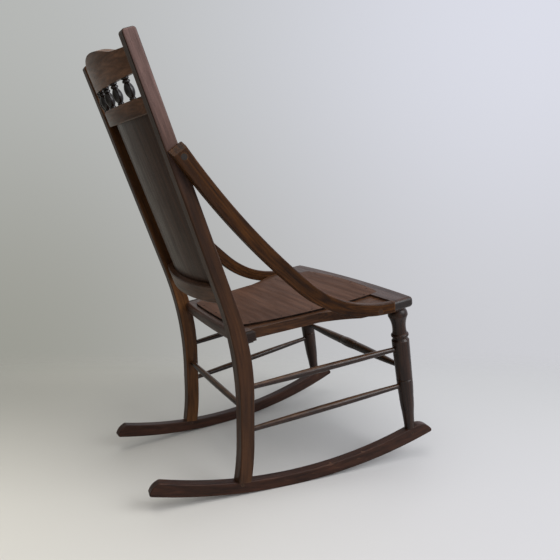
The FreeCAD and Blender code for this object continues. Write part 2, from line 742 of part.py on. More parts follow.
bottom_blank, bottom_mortises = back_rail(
    "bottom_rail_blank", ring_band("bottom_rail_band", "rail_radius", "rail_thick", BAND_HALF,
                                   "bottom_rail_low", "bottom_rail_tall", "rail_round"),
    "bottom_rail_low", "bottom_rail_tall")
mid_blank, mid_mortises = back_rail(
    "mid_rail_blank", ring_band("mid_rail_band", "rail_radius", "rail_thick", BAND_HALF,
                                "mid_rail_low", "mid_rail_tall", "rail_round"),
    "mid_rail_low", "mid_rail_tall")

# The crest's outline from the front: level ends, then a low crown
CREST_TOP = "(crest_low + crest_tall)"
CROWN_FOOT = "(crest_low + crest_crown_foot)"
CROWN_RISE = "(crest_tall - crest_crown_foot)"
crest_face = new_body("crest_face")
crest_sketch = outline(crest_face, "XZ_Plane", [
    (f"-{BAND_HALF}", "crest_low"),
    (BAND_HALF, "crest_low"),
    (BAND_HALF, "crest_low + crest_end_tall"),
    ("crest_shoulder_half", "crest_low + crest_shoulder_tall", "-crest_shoulder_radius"),
    ("crest_crown_half", CROWN_FOOT, f"(crest_crown_half ^ 2 + {CROWN_RISE} ^ 2) / (2 * {CROWN_RISE})"),
    ("-crest_crown_half", CROWN_FOOT, "-crest_shoulder_radius"),
    ("-crest_shoulder_half", "crest_low + crest_shoulder_tall"),
    (f"-{BAND_HALF}", "crest_low + crest_end_tall"),
])
pad(crest_face, crest_sketch, "rail_radius", middle=True)
crest_face.Placement = back_frame
crest_band = ring_band("crest_band", "rail_radius", "rail_thick", BAND_HALF, "crest_low", "crest_tall")
crest_blank, crest_mortises = back_rail("crest_blank", common("crest_cut", crest_band, crest_face),
                                        "crest_low", "crest_end_tall")

# Back panel on the front of the middle and bottom rails
PANEL_OUTER = "(rail_radius - rail_thick)"
PANEL_LOW = "(bottom_rail_low + bottom_rail_tall - back_panel_lap)"
PANEL_TALL = f"(mid_rail_low + back_panel_lap - {PANEL_LOW})"
back_panel_band = ring_band("back_panel_band", PANEL_OUTER, "back_panel_thick", BAND_HALF,
                            PANEL_LOW, PANEL_TALL)
back_panel_blank = cut("back_panel_blank", back_panel_band, outside_post, outside_left)

# Tacks: one turning with a domed head, driven flush round the seat panel and on the back panel
HEAD = "(tack_head / 2)"
tack = turned("tack", [
    ("tack_shank", "-tack_long"),
    ("tack_shank", "0"),
    ("tack_head", "0", f"({HEAD} ^ 2 + tack_head_tall ^ 2) / (2 * tack_head_tall)"),
    ("0", "tack_head_tall"),
])
tack_depth = Placement(Vector(0, 0, -num("tack_long + fit")), Rotation())
tack_hole = joined("tack_hole", rod("shank_hole", "tack_shank + 2 * fit", "tack_long + fit * 2", tack_depth),
                   rod("head_recess", "tack_head + 2 * fit", "tack_head_tall * 3", Placement()))


def tacked(label, places):
    """A group of tacks, and the tool for their holes."""
    return (copies(label, tack, places),
            copies(label + "_holes", tack_hole, places))


def back_tack_place(x, height):
    """In the back panel's front, head to the front."""
    radius = num(f"{PANEL_OUTER} - back_panel_thick + tack_head_tall")
    depth = math.sqrt(radius * radius - x * x)
    spot = Vector(x, num(RING_CENTRE) + depth, height)
    return back_frame.multiply(Placement(spot, Rotation(Vector(0, 0, 1), Vector(-x, -depth, 0))))


back_tack_rows = (num(f"{PANEL_LOW} + back_panel_lap / 2"),
                  num(f"{PANEL_LOW} + {PANEL_TALL} - back_panel_lap / 2"))
back_tack_places = [back_tack_place(step * num("back_tack_spread"), height)
                    for height in back_tack_rows for step in range(-2, 3)]
back_panel_tacks, back_tack_holes = tacked("back_panel_tacks", back_tack_places)
back_panel = cut("back_panel", back_panel_blank, back_tack_holes)
bottom_rail = cut("bottom_rail", bottom_blank, back_tack_holes)

# Spindles between the middle rail and the crest, on the middle of the rails' thickness
SPINDLE_LOW = "(mid_rail_low + mid_rail_tall)"
SPINDLE_LONG = f"(crest_low - {SPINDLE_LOW})"
spindles = []
spindle_holes = []
for number in range(SPINDLES):
    x = (number - (SPINDLES - 1) / 2) * num("spindle_spread")
    ring = num("rail_radius - rail_thick / 2")
    spot = Vector(x, num(RING_CENTRE) + math.sqrt(ring * ring - x * x), num(SPINDLE_LOW))
    place = back_frame.multiply(Placement(spot, Rotation()))
    spindle = turned(f"spindle_{number + 1}", [
        ("spindle_tenon", "-spindle_tenon_long"),
        ("spindle_tenon", "0"),
        ("spindle_foot", "0"),
        ("spindle_foot", f"{SPINDLE_LONG} * 0.08"),
        ("spindle_neck", f"{SPINDLE_LONG} * 0.1", "spindle_vase * 1.12"),
        ("spindle_vase", f"{SPINDLE_LONG} * 0.42", "spindle_vase * 1.18"),
        ("spindle_neck", f"{SPINDLE_LONG} * 0.75"),
        ("spindle_collar", f"{SPINDLE_LONG} * 0.79"),
        ("spindle_collar", f"{SPINDLE_LONG} * 0.86"),
        ("spindle_neck", f"{SPINDLE_LONG} * 0.9"),
        ("spindle_collar", f"{SPINDLE_LONG} * 0.94"),
        ("spindle_collar", SPINDLE_LONG),
        ("spindle_tenon", SPINDLE_LONG),
        ("spindle_tenon", f"{SPINDLE_LONG} + spindle_tenon_long"),
    ])
    spindle.Placement = place
    spindles.append(spindle)
    hole = rod(f"spindle_hole_{number + 1}", "spindle_tenon + 2 * fit",
               f"{SPINDLE_LONG} + 2 * spindle_tenon_long + 2 * fit",
               place.multiply(Placement(Vector(0, 0, -num("spindle_tenon_long + fit")), Rotation())))
    spindle_holes.append(hole)
spindle_bores = group("spindle_bores", *spindle_holes)
mid_rail = cut("mid_rail", mid_blank, back_tack_holes, spindle_bores)
crest_rail = cut("crest_rail", crest_blank, spindle_bores)

# Seat panel, its four edges bowed out and its corners rounded, and its recess in the front rail
def panel_plate(label, room, thick):
    """A plate of the panel's outline with room round it, and its last feature."""
    body = new_body(label)
    sketch = outline(body, "XY_Plane", [
        (f"-(panel_front_half + {room})", f"-(panel_front_y + {room})", "panel_front_radius"),
        (f"panel_front_half + {room}", f"-(panel_front_y + {room})", "panel_side_radius"),
        (f"panel_rear_half + {room}", f"-(panel_rear_y - {room})", "panel_rear_radius"),
        (f"-(panel_rear_half + {room})", f"-(panel_rear_y - {room})", "panel_side_radius"),
    ])
    plate = pad(body, sketch, thick)
    body.Placement = seat_frame
    return body, fillet(body, plate, lambda edge: edge.BoundBox.ZLength > 1, "panel_corner")


panel_blank, panel_corners = panel_plate("panel_blank", "0", "panel_thick")
fillet(panel_blank, panel_corners, lambda edge: edge.BoundBox.ZMin > num("panel_thick") - 0.1,
       "panel_thick / 6")
panel_recess = panel_plate("panel_recess", "fit", "panel_thick * 2")[0]


def inset_points(start, end, radius, count):
    """Points along an edge of the panel, set in from it by the tacks' inset."""
    middle = (start + end) * 0.5
    half = (end - start).Length / 2
    inward = Vector(-(end - start).y, (end - start).x, 0).normalize()
    centre = middle + inward * math.sqrt(radius * radius - half * half)
    points = []
    for step in range(count):
        spot = start + (end - start) * ((step + 0.5) / count)
        points.append(centre + (spot - centre).normalize() * (radius - num("tack_inset")))
    return points


front_r = Vector(-num("panel_front_half"), -num("panel_front_y"), 0)
front_l = Vector(num("panel_front_half"), -num("panel_front_y"), 0)
rear_l = Vector(num("panel_rear_half"), -num("panel_rear_y"), 0)
rear_r = Vector(-num("panel_rear_half"), -num("panel_rear_y"), 0)
seat_tack_spots = (
    inset_points(front_r, front_l, num("panel_front_radius"), FRONT_TACKS)
    + inset_points(front_l, rear_l, num("panel_side_radius"), SIDE_TACKS)
    + inset_points(rear_l, rear_r, num("panel_rear_radius"), REAR_TACKS)
    + inset_points(rear_r, front_r, num("panel_side_radius"), SIDE_TACKS))
head_seat = Vector(0, 0, num("panel_thick - tack_head_tall"))
seat_tack_places = [seat_frame.multiply(Placement(spot + head_seat, Rotation()))
                    for spot in seat_tack_spots]
seat_tacks, seat_tack_holes = tacked("seat_tacks", seat_tack_places)
seat_panel = cut("seat_panel", panel_blank, seat_tack_holes)

# Corner block: on the end of the rear rail, in front of the post and screwed to it
block_middle = Vector(-num(f"{REAR_END_X} + block_wide / 2"), -num("block_front / 2"),
                      -num("block_drop + block_tall / 2"))
corner_block_blank = block("corner_block_blank", "block_wide", "block_front", "block_tall",
                           seat_frame.multiply(Placement(block_middle, Rotation())))
block_screw_start = block_middle + Vector(0, -num("block_front / 2"),
                                          num("block_tall / 2 - block_screw_head / 2 - fit * 5"))


def screw(label, start, way, frame, shank, head, head_tall, length):
    """A screw with a flat head whose face is at start, and the tools for its holes."""
    place = frame.multiply(along(start, start + way))
    outside = frame.multiply(along(start - way * num(head_tall), start))
    piece = joined(label, rod(label + "_head", head, head_tall, place),
                   rod(label + "_shank", shank, length, place))
    head_hole = rod(label + "_head_hole", f"{head} + 2 * fit", f"{head_tall} * 2 + fit", outside)
    shank_hole = rod(label + "_shank_hole", f"{shank} + 2 * fit", f"{length} + fit", place)
    return piece, head_hole, shank_hole


block_screw, block_head_hole, block_shank_hole = screw(
    "block_screw_right", block_screw_start, Vector(0, 1, 0), seat_frame, "block_screw",
    "block_screw_head", "block_screw_head_tall", "block_screw_long")

# Round tenon on the right end of the rear rail, into the post
rear_tenon_start = Vector(-num(f"{REAR_END_X} - rear_tenon_long"), -num("rear_tenon_y"),
                          -num("rear_tenon_drop"))
rear_tenon_place = seat_frame.multiply(along(rear_tenon_start, rear_tenon_start - Vector(1, 0, 0)))
rear_tenon = rod("rear_tenon", "rear_tenon", "rear_tenon_long * 2", rear_tenon_place)
rear_tenon_hole = rod("rear_tenon_hole", "rear_tenon + 2 * fit", "rear_tenon_long * 2 + fit",
                      rear_tenon_place)

# Dowels of the seat frame: two at each front corner, one at each rear corner
dowels = []
dowel_holes = []
rail_middle_x = -num(f"({SIDE_FRONT_X} + side_rail_front_inner) / 2")
dowel_spots = [Vector(rail_middle_x + side * num("dowel_spread / 2"), -num("seat_depth"), 0)
               for side in (-1, 1)]
rear_dowel_x = num("-side_rail_rear_x + side_rail_rear_width / 2")
dowel_spots.append(Vector(rear_dowel_x, num(on_ring(REAR_CENTRE, REAR_INNER, f"({rear_dowel_x})")), 0))
for number, spot in enumerate(dowel_spots, start=1):
    start = spot + Vector(0, -num("dowel_long / 2"), -num("side_rail_thick / 2"))
    place = seat_frame.multiply(along(start, start + Vector(0, 1, 0)))
    hole_place = seat_frame.multiply(along(start - Vector(0, num("fit"), 0), start))
    dowels.append(rod(f"dowel_{number}", "dowel", "dowel_long", place))
    dowel_holes.append(rod(f"dowel_hole_{number}", "dowel + 2 * fit", "dowel_long + 2 * fit", hole_place))
dowel_bores = group("dowel_bores", *dowel_holes)
dowels_right = group("dowels_right", *dowels)

# Side brace: its outline from the side and its strip from above, both in the post's leaning frame
BRACE_Y = "(post_rear_y - seat_setback - seat_depth * cos(seat_slope) + brace_straight)"
BRACE_Z = "(seat_rear_z + seat_depth * sin(seat_slope) + panel_thick)"
BEND_Y = f"({BRACE_Y} + brace_bend_radius * (sin(brace_mid_pitch) + sin(seat_slope)))"
BEND_Z = f"({BRACE_Z} + brace_bend_radius * (cos(seat_slope) - cos(brace_mid_pitch)))"
TOP_Y = f"({BEND_Y} + brace_sweep_radius * (sin(brace_top_pitch) - sin(brace_mid_pitch)))"
TOP_Z = f"({BEND_Z} + brace_sweep_radius * (cos(brace_mid_pitch) - cos(brace_top_pitch)))"
RUN = "(brace_width)"
# The lower edge draws in to the front rail's thickness: a tighter arc that starts further back
BEND_TURN = "(brace_mid_pitch + seat_slope)"
DRAW_IN = "(brace_width - front_rail_thick)"
LOWER_RUN = f"({DRAW_IN} / tan({BEND_TURN} / 2))"
LOWER_RADIUS = f"(brace_bend_radius + brace_width - {DRAW_IN} / (sin({BEND_TURN}) * tan({BEND_TURN} / 2)))"
brace_side = new_body("brace_side")
brace_sketch = outline(brace_side, "YZ_Plane", [
    (f"{BRACE_Y} - {RUN} * cos(seat_slope)", f"{BRACE_Z} + {RUN} * sin(seat_slope)"),
    (f"{BRACE_Y} - {RUN} * cos(seat_slope) - front_rail_thick * sin(seat_slope)",
     f"{BRACE_Z} + {RUN} * sin(seat_slope) - front_rail_thick * cos(seat_slope)"),
    (f"{BRACE_Y} + {LOWER_RUN} * cos(seat_slope) - front_rail_thick * sin(seat_slope)",
     f"{BRACE_Z} - {LOWER_RUN} * sin(seat_slope) - front_rail_thick * cos(seat_slope)", LOWER_RADIUS),
    (f"{BEND_Y} + brace_width * sin(brace_mid_pitch)",
     f"{BEND_Z} - brace_width * cos(brace_mid_pitch)", "brace_sweep_radius + brace_width"),
    (f"{TOP_Y} + brace_width * sin(brace_top_pitch)",
     f"{TOP_Z} - brace_width * cos(brace_top_pitch)"),
    (TOP_Y, TOP_Z, "-brace_sweep_radius"),
    (BEND_Y, BEND_Z, "-brace_bend_radius"),
    (BRACE_Y, BRACE_Z),
])
pad(brace_side, brace_sketch, "front_rail_half", middle=True)
brace_side.Placement = post_frame

STRIP_REAR_X = "(post_foot_x - brace_rear_x + seat_rear_z * tan(post_splay))"
STRIP_FRONT_X = (f"(post_foot_x - {SIDE_FRONT_X}"
                 " + (seat_rear_z + seat_depth * sin(seat_slope)) * tan(post_splay))")
STRIP_REAR_Y = "(post_rear_y - seat_setback)"
STRIP_TURN = f"atan(({STRIP_REAR_X} - {STRIP_FRONT_X}) / (seat_depth * cos(seat_slope)))"
MEET_Y = f"({STRIP_REAR_Y} - (post_thick / 2 + {STRIP_REAR_X}) / tan({STRIP_TURN}))"
MEET_RUN = f"(brace_plan_radius * tan({STRIP_TURN} / 2))"
INNER_X = f"(-post_thick / 2 - {MEET_RUN} * sin({STRIP_TURN}))"
INNER_Y = f"({MEET_Y} - {MEET_RUN} * cos({STRIP_TURN}))"
STRIP_END = f"(({INNER_Y} - {BRACE_Y}) / cos({STRIP_TURN}) + {RUN})"
END_X = f"({INNER_X} - {STRIP_END} * sin({STRIP_TURN}))"
END_Y = f"({INNER_Y} - {STRIP_END} * cos({STRIP_TURN}))"
OFF_X = f"brace_thick * cos({STRIP_TURN})"
OFF_Y = f"brace_thick * sin({STRIP_TURN})"
brace_strip = new_body("brace_strip")
strip_sketch = outline(brace_strip, "XY_Plane", [
    ("-post_thick / 2", f"{TOP_Y} + post_rear_y"),
    ("-post_thick / 2 - brace_thick", f"{TOP_Y} + post_rear_y"),
    ("-post_thick / 2 - brace_thick", f"{MEET_Y} + {MEET_RUN}", "-(brace_plan_radius - brace_thick)"),
    (f"{INNER_X} - {OFF_X}", f"{INNER_Y} + {OFF_Y}"),
    (f"{END_X} - {OFF_X}", f"{END_Y} + {OFF_Y}"),
    (END_X, END_Y),
    (INNER_X, INNER_Y, "brace_plan_radius"),
    ("-post_thick / 2", f"{MEET_Y} + {MEET_RUN}"),
])
pad(brace_strip, strip_sketch, "post_top")
brace_strip.Placement = post_frame
brace_bar = common("brace_bar", brace_side, brace_strip)
front_trim = block("front_trim", f"{SEAT_TRIM} * 4", SEAT_TRIM, SEAT_TRIM,
                   seat_frame.multiply(Placement(
                       Vector(0, -num(f"seat_depth + {SEAT_TRIM} / 2"), 0), Rotation())))
brace_ended = cut("brace_ended", brace_bar, front_trim)


def dressed(label, source, kind, size, test):
    """A fillet or chamfer of one size on the edges of the source that pass the test."""
    feature = doc.addObject(kind, label)
    feature.Base = source
    length = num(size)
    feature.Edges = [(number, length, length)
                     for number, edge in enumerate(source.Shape.Edges, start=1) if test(edge)]
    doc.recompute()
    return feature


# The bevel on a brace's upper end, from its outer face to near the post
brace_up = Vector(0, num("cos(brace_top_pitch)"), num("sin(brace_top_pitch)"))
brace_across = Vector(0, num("sin(brace_top_pitch)"), -num("cos(brace_top_pitch)"))
bevel_out = (brace_up - Vector(1, 0, 0)).normalize()
brace_tip = (Vector(-num("post_thick / 2 + brace_thick"), num(TOP_Y), num(TOP_Z))
             + brace_across * num("brace_width / 2"))
bevel_middle = brace_tip + bevel_out * num("brace_width - brace_bevel / sqrt(2)")
bevel_turn = Rotation(bevel_out, brace_across, Vector(0, 0, 0), "XYZ")
bevel_tool = block("bevel_tool", "brace_width * 2", "brace_width * 2", "brace_width * 4",
                   post_frame.multiply(Placement(bevel_middle, bevel_turn)))
brace_rounded = dressed("brace_rounded", brace_ended, "Part::Fillet", "brace_round",
                        lambda edge: edge.Length > num("brace_width") * 3)
brace_blank = cut("brace_blank", brace_rounded, bevel_tool)

# The upper screw is on the middle of the brace's width, just behind the post's front face
MIDDLE_Y = f"({TOP_Y} + brace_width / 2 * sin(brace_top_pitch))"
MIDDLE_Z = f"({TOP_Z} - brace_width / 2 * cos(brace_top_pitch))"
FACE_GAP = (f"({MIDDLE_Y} - {FRONT_BEND_Y} - brace_screw_inset"
            f" - ({MIDDLE_Z} - {FRONT_BEND_Z}) * tan(post_front_lean))")
SCREW_RUN = f"({FACE_GAP} / (cos(brace_top_pitch) - sin(brace_top_pitch) * tan(post_front_lean)))"
upper_screw_start = Vector(-num("post_thick / 2 + brace_thick"),
                           num(f"{MIDDLE_Y} - {SCREW_RUN} * cos(brace_top_pitch)"),
                           num(f"{MIDDLE_Z} - {SCREW_RUN} * sin(brace_top_pitch)"))
upper_screw, upper_head_hole, upper_shank_hole = screw(
    "brace_upper_screw_right", upper_screw_start, Vector(1, 0, 0), post_frame, "brace_screw",
    "brace_screw_head", "brace_screw_head_tall", "brace_screw_long")

rail_turn = num(f"atan(({SIDE_FRONT_X} - brace_rear_x) / seat_depth)")
rail_in = Vector(math.cos(math.radians(rail_turn)), -math.sin(math.radians(rail_turn)), 0)
rail_spot = Vector(-num(f"brace_rear_x + ({SIDE_FRONT_X} - brace_rear_x) * seat_screw_y / seat_depth"),
                   -num("seat_screw_y"), -num("side_rail_thick / 2"))
lower_screw, lower_head_hole, lower_shank_hole = screw(
    "brace_lower_screw_right", rail_spot - rail_in * num("brace_thick"), rail_in, seat_frame,
    "brace_screw", "brace_screw_head", "brace_screw_head_tall", "brace_screw_long")

# Right hand pieces with all their joints, and their mirrored twins
brace_right = cut("brace_right", brace_blank, side_rail_blank, upper_head_hole, upper_shank_hole,
                  lower_head_hole, lower_shank_hole)
corner_block_right = cut("seat_corner_block_right", corner_block_blank, post_blank, rear_tenon_hole,
                         block_head_hole, block_shank_hole)
seat_side_rail_right = cut("seat_side_rail_right", side_rail_blank, rear_rail_blank, dowel_bores,
                           seat_tack_holes, lower_shank_hole)

post_tenon_low = num(TENON_LOW)
post_tenon_place = Placement(Vector(post_point(0).x, post_tenon_y, 0), Rotation())


def post_tenon_block(label, room):
    low = post_tenon_low - room
    lift = Placement(Vector(0, 0, low + num("post_tenon_long")), Rotation())
    return block(label, f"post_tenon_wide + 2 * {room}", f"post_tenon_deep + 2 * {room}",
                 "post_tenon_long * 2", post_tenon_place.multiply(lift))


post_tenon = post_tenon_block("post_tenon", 0)
post_mortise = post_tenon_block("post_mortise", num("fit"))
post_tenoned = joined("post_tenoned", cut("post_trimmed", post_blank, foot_trim), post_tenon)
rear_post_right = cut("rear_post_right", post_tenoned,
                      socket("upper_rear_socket", upper_rear, upper_front),
                      socket("lower_rear_socket", lower_rear, lower_front),
                      socket("rear_socket", rear_right, rear_left),
                      rear_peg_hole, rear_tenon_hole, block_shank_hole, upper_shank_hole,
                      bottom_mortises, mid_mortises, crest_mortises)
rocker_right = cut("rocker_right", rocker_blank, foot_hole, post_mortise, rear_peg_hole, front_peg_hole)

front_rail_bores = (top_hole, dowel_bores)
front_rail_bores_left = (mirror("top_hole_left", top_hole), mirror("dowel_bores_left", dowel_bores))
seat_front_rail = cut("seat_front_rail", front_rail_blank, panel_recess, *front_rail_bores,
                      *front_rail_bores_left, seat_tack_holes)
rear_rail_trimmed = cut("rear_rail_trimmed", rear_rail_blank, post_blank,
                        mirror("post_blank_left", post_blank))
rear_rail_tenoned = joined("rear_rail_tenoned", rear_rail_trimmed, rear_tenon,
                           mirror("rear_tenon_left", rear_tenon))
seat_rear_rail = cut("seat_rear_rail", rear_rail_tenoned, dowel_bores, front_rail_bores_left[1],
                     seat_tack_holes)


def pair(name, right):
    """A right hand piece and its mirrored twin."""
    return [(f"{name}_right", right), (f"{name}_left", mirror(f"{name}_left", right))]


def both_sides(label, right):
    """Fasteners of both sides as one group."""
    return group(label, right, mirror(label + "_left", right))


nodes = (
    pair("rear_post", rear_post_right)
    + pair("front_leg", front_leg_right)
    + pair("rocker", rocker_right)
    + pair("side_stretcher_upper", upper_right)
    + pair("side_stretcher_lower", lower_right)
    + pair("seat_side_rail", seat_side_rail_right)
    + pair("seat_corner_block", corner_block_right)
    + pair("brace", brace_right)
    + [
        ("front_stretcher", front_stretcher),
        ("rear_stretcher", rear_stretcher),
        ("seat_front_rail", seat_front_rail),
        ("seat_rear_rail", seat_rear_rail),
        ("seat_panel", seat_panel),
        ("seat_tacks", seat_tacks),
        ("seat_dowels", both_sides("seat_dowels", dowels_right)),
        ("corner_block_screws", both_sides("corner_block_screws", block_screw)),
        ("brace_upper_screws", both_sides("brace_upper_screws", upper_screw)),
        ("brace_lower_screws", both_sides("brace_lower_screws", lower_screw)),
        ("rocker_pegs", both_sides("rocker_pegs", group("pegs_right", *pegs))),
        ("bottom_rail", bottom_rail),
        ("mid_rail", mid_rail),
        ("crest_rail", crest_rail),
        ("back_panel", back_panel),
        ("back_panel_tacks", back_panel_tacks),
    ]
    + [(spindle.Label, spindle) for spindle in spindles]
)

doc.recompute()
for item in doc.Objects:
    if "Invalid" in item.State or "Error" in item.State:
        raise RuntimeError(f"{item.Label} did not compute")
os.makedirs("parts", exist_ok=True)
for name, item in nodes:
    item.Label = name
    if item.Shape.isNull() or not item.Shape.isValid():
        raise RuntimeError(f"{name} has no valid shape")
    item.Shape.exportStep(f"parts/{name}.step")
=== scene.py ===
import math
import bpy
from mathutils import Matrix, Vector


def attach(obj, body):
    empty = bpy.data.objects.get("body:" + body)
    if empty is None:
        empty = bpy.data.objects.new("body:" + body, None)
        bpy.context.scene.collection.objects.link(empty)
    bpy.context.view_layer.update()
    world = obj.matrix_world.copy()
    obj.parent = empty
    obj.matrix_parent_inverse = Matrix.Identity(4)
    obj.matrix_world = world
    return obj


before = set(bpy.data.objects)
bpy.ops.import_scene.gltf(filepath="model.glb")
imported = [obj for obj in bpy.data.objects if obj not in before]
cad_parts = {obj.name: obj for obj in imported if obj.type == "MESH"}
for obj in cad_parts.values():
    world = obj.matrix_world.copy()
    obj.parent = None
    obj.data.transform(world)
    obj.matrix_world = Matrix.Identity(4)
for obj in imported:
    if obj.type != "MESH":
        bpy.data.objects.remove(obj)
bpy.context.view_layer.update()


# Rockers: two curved boards sawn from dark stained hardwood, grain along their length, edges eased.
# The legs and posts stand in mortises in them, held by a wooden peg each. Handling and floors have
# rubbed the edges and the rear tips paler.

class Wire:
    """A socket in a material. Sums with it add Math nodes, and make() adds any other node."""

    def __init__(self, socket):
        self.socket = socket

    def make(self, kind, settings, inputs, output=0):
        """A new node: its settings are set first, then the values or links of its sockets."""
        tree = self.socket.id_data
        node = tree.nodes.new("ShaderNode" + kind)
        for name, value in settings.items():
            setattr(node, name, value)
        for name, value in inputs.items():
            if isinstance(value, Wire):
                tree.links.new(value.socket, node.inputs[name])
            else:
                node.inputs[name].default_value = value
        return Wire(node.outputs[output])

    def math(self, operation, first, second=0.0, third=0.0):
        return self.make("Math", {"operation": operation}, {0: first, 1: second, 2: third})

    def __add__(self, other):
        return self.math("ADD", self, other)

    __radd__ = __add__

    def __sub__(self, other):
        return self.math("SUBTRACT", self, other)

    def __rsub__(self, other):
        return self.math("SUBTRACT", other, self)

    def __mul__(self, other):
        return self.math("MULTIPLY", self, other)

    __rmul__ = __mul__

    def axis(self, number):
        """x, y or z of this vector."""
        return self.make("SeparateXYZ", {}, {0: self}, number)

    def along(self, way):
        """How far this vector goes that way."""
        return self.make("VectorMath", {"operation": "DOT_PRODUCT"}, {0: self, 1: way}, "Value")

    def step(self, low, high):
        """0 below low, 1 above high, smooth between."""
        return self.make("MapRange", {"interpolation_type": "SMOOTHSTEP"},
                         {"Value": self, "From Min": low, "From Max": high})

    def blend(self, first, second):
        """The first colour where this is 0, the second where it is 1."""
        return self.make("Mix", {"data_type": "RGBA"}, {0: self, 6: first, 7: second}, 2)


def stained_wood(name, grain, dark, light, worn, gloss, wear=0.6, figure=0.3, scuffs=0.0,
                 shine=0.15, coat=0.05, areas=()):
    """Old stained wood under varnish. grain turns x, y, z into run, across and depth of the board.
    Each of areas is what turns x, z and the normal into where it is, and its dark and light colour."""
    material = bpy.data.materials.new(name)
    material.use_nodes = True
    tree = material.node_tree
    shader = tree.nodes["Principled BSDF"]
    spot = Wire(tree.nodes.new("ShaderNodeTexCoord").outputs["Object"])
    x, y, z = [spot.axis(number) for number in range(3)]
    run, across, depth = grain(x, y, z)

    def noise(long, wide, detail=3.0, rough=0.55):
        """Noise with that many cells to the metre along the grain and across it."""
        place = spot.make("CombineXYZ", {}, {0: run * long, 1: across * wide, 2: depth * wide})
        return spot.make("TexNoise", {}, {"Vector": place, "Scale": 1.0, "Detail": detail,
                                          "Roughness": rough})

    bands = noise(3.2, 80).step(0.32, 0.68)
    rings = spot.math("SINE", noise(1.6, 22, 2.0) * 85.0) * 0.5 + 0.5
    fibres = noise(26, 460, 2.0).step(0.35, 0.7)
    pores = noise(55, 1500, 1.0).step(0.6, 0.74)
    stain = noise(7, 60, 4.0).step(0.38, 0.72)
    shade = tuple(0.45 * part for part in dark[:3]) + (1.0,)
    figured = bands * (0.75 - figure) + rings * figure + fibres * 0.25
    colour = figured.blend(dark, light)
    normal = spot.make("NewGeometry", {}, {}, "Normal")
    for area, area_dark, area_light in areas:
        colour = area(x, z, normal).blend(colour, figured.blend(area_dark, area_light))
    colour = (stain * 0.4).blend(colour, shade)
    colour = (pores * 0.55).blend(colour, shade)

    # Rubbed edges: where a wide rounding would turn the surface away from its own normal
    round_normal = spot.make("Bevel", {"samples": 6}, {"Radius": 0.005})
    turn = round_normal.along(normal)
    patches = noise(16, 40, 4.0, 0.65).step(0.42, 0.66)
    rubbed = (1.0 - turn).step(0.015, 0.16) * patches * wear
    colour = rubbed.blend(colour, worn)

    # Scuffs: short pale scratches in a few places, running askew to the grain
    if scuffs:
        skew = spot.make("CombineXYZ", {}, {0: run * 30 + across * 34, 1: across * 330 - run * 60,
                                            2: depth * 60})
        marks = spot.make("TexNoise", {}, {"Vector": skew, "Scale": 1.0, "Detail": 1.0}).step(0.66, 0.74)
        where = noise(4.5, 7, 2.0).step(0.5, 0.66)
        colour = (marks * where * scuffs).blend(colour, worn)
    tree.links.new(colour.socket, shader.inputs["Base Color"])
    roughness = stain * 0.10 + pores * 0.14 + fibres * 0.05 + rubbed * 0.12 + gloss
    tree.links.new(roughness.socket, shader.inputs["Roughness"])
    height = bands * 0.25 + rings * 0.2 + fibres * 0.25 - pores * 0.8
    bump = spot.make("Bump", {}, {"Strength": 0.22, "Distance": 0.0007, "Height": height})
    tree.links.new(bump.socket, shader.inputs["Normal"])
    shader.inputs["Specular IOR Level"].default_value = shine
    shader.inputs["Coat Weight"].default_value = coat
    shader.inputs["Coat Roughness"].default_value = 0.22
    return material


def finish_nodes(material, *names):
    """Give CAD nodes, whose shapes stay, a material in all their slots."""
    for name in names:
        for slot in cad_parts[name].material_slots:
            slot.material = material


ROCKER_BOW = 0.43


def rocker_grain(x, y, z):
    return y, z - y * y * ROCKER_BOW, x


rocker_wood = stained_wood(
    "rocker_wood", rocker_grain, dark=(0.014, 0.0054, 0.0032, 1), light=(0.054, 0.0205, 0.0115, 1),
    worn=(0.17, 0.085, 0.05, 1), gloss=0.36, wear=0.7, scuffs=0.5)
finish_nodes(rocker_wood, "rocker_right", "rocker_left")


# Pegs and dowels: short straight rods of the same wood. The pegs' end grain shows on the rockers'
# faces, and the dowels are inside the seat frame.

def peg_grain(x, y, z):
    return x, y, z


peg_wood = stained_wood(
    "peg_wood", peg_grain, dark=(0.012, 0.006, 0.004, 1), light=(0.04, 0.02, 0.012, 1),
    worn=(0.12, 0.07, 0.04, 1), gloss=0.5)
finish_nodes(peg_wood, "rocker_pegs", "seat_dowels")


# Rear posts: one sawn board each from the rocker to the top of the back, bent back above the seat.
# The upper outer faces are painted a paler pinkish brown as a painted sheen where the light catches
# them, and the inner faces are painted warmer and lighter, standing in for light that reaches them.
# The top ends are nearly black.

POST_BEND_Z = 0.33
POST_BEND_LONG = 0.12
POST_SLOPE = 0.352
POST_TOP_X = 0.2


def post_grain(x, y, z):
    bent = z.math("SMOOTH_MAX", z - POST_BEND_Z, 0.0, POST_BEND_LONG)
    return z, y - bent * POST_SLOPE, x


def facing_out(x, normal):
    """About 1 on the outer faces of the posts, about -1 on the inner ones."""
    return x * normal.axis(0) * (1 / POST_TOP_X)


# Painted sheen: the upper outer faces of the posts are painted paler and pinker where light catches them.
def painted_sheen_upper_outer_faces(x, z, normal):
    return facing_out(x, normal).step(0.62, 0.86) * z.step(0.62, 0.90)


def top_ends(x, z, normal):
    return normal.axis(2).step(0.45, 0.8) * z.step(0.90, 0.92)


# Painted light: the inner faces are painted warmer and lighter, standing in for the light reaching them.
def painted_light_inner_faces(x, z, normal):
    return (0.0 - facing_out(x, normal)).step(0.35, 0.8)


